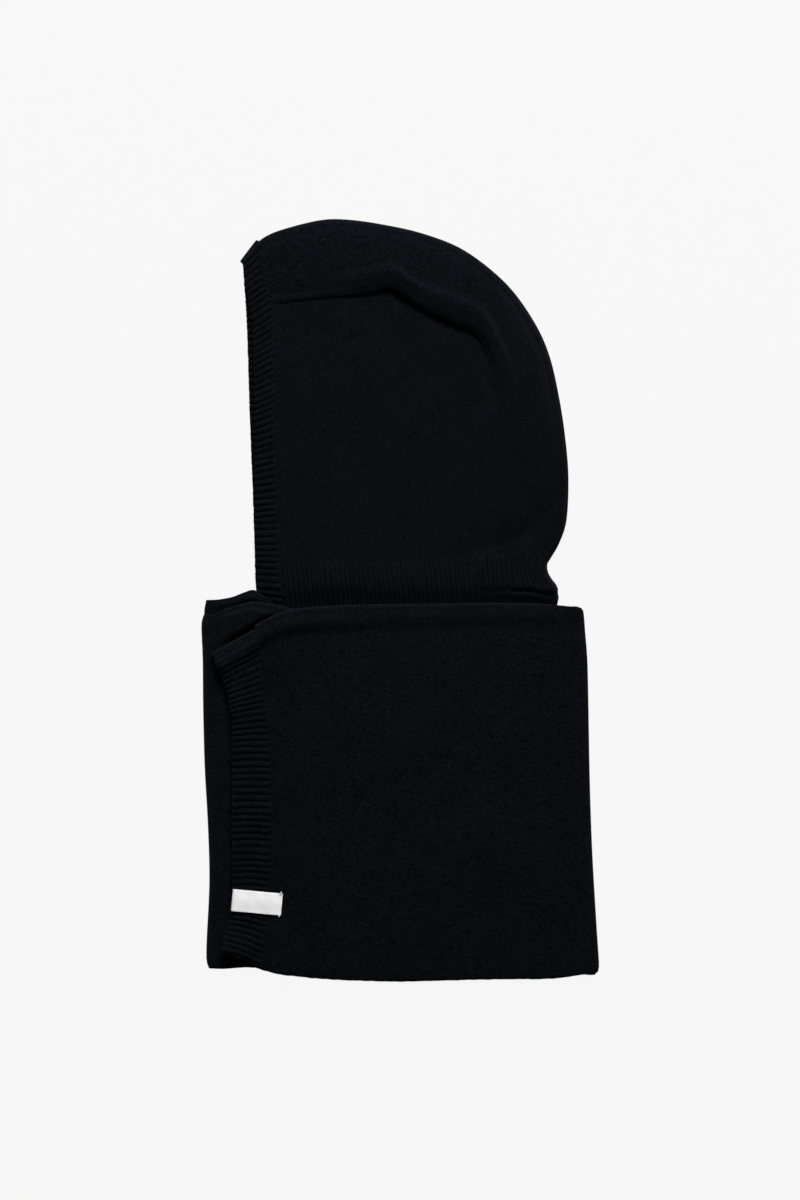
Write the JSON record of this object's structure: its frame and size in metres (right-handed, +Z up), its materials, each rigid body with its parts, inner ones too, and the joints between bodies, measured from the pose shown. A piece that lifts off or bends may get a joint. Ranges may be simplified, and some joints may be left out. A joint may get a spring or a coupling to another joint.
{
  "type": "balaclava",
  "caption": "Knitted hood balaclava with ribbed face and neck bands and two long scarf tails folded flat below the neck.",
  "frame": {"origin": "middle of the footprint of the folded piece, on the surface that it lies on", "axes": "+Y from the scarf towards the crown, -X towards the face opening, +Z up, away from the surface"},
  "size_m": [0.3324, 0.6391, 0.0232],
  "materials": {
    "plain_knit": "soft fine plain knit, slightly brushed",
    "rib_knit": "ribbed knit",
    "seam_knit": "linked knit seam",
    "woven_label": "smooth woven ribbon, blank",
    "label_thread": "twisted sewing thread"
  },
  "bodies": {
    "hood": {"hood_left_panel": "plain_knit", "hood_right_panel": "plain_knit", "crown_panel": "plain_knit", "crown_seam_left": "seam_knit", "crown_seam_right": "seam_knit", "face_band": "rib_knit", "face_seam_left": "seam_knit", "face_seam_right": "seam_knit", "neck_band": "rib_knit", "neck_seam_upper": "seam_knit", "neck_seam_lower": "seam_knit", "scarf_back": "plain_knit"},
    "tails_middle": {"left_tail_middle": "plain_knit", "right_tail_middle": "plain_knit", "left_tail_first_bend": "plain_knit", "right_tail_first_bend": "plain_knit"},
    "tails_end": {"left_tail_end": "plain_knit", "right_tail_end": "plain_knit", "left_tail_second_bend": "plain_knit", "right_tail_second_bend": "plain_knit", "left_tail_cuff": "rib_knit", "right_tail_cuff": "rib_knit", "left_cuff_seam": "seam_knit", "right_cuff_seam": "seam_knit", "label": "woven_label", "label_stitch_upper": "label_thread", "label_stitch_lower": "label_thread"}
  },
  "joints": [
    {"name": "left_fold", "type": "hinge", "parent": "hood", "child": "tails_middle", "pos_m": [-0.1581, 0, 0.0116], "axis": [0.0171, -0.9999, 0], "range_deg": [0, 180], "deforming": ["left_tail_first_bend", "right_tail_first_bend"]},
    {"name": "right_fold", "type": "hinge", "parent": "tails_middle", "child": "tails_end", "pos_m": [0.1479, -0.005, 0.01685], "axis": [-0.0418, 0.9991, 0], "range_deg": [0, 180], "deforming": ["left_tail_second_bend", "right_tail_second_bend"]}
  ]
}
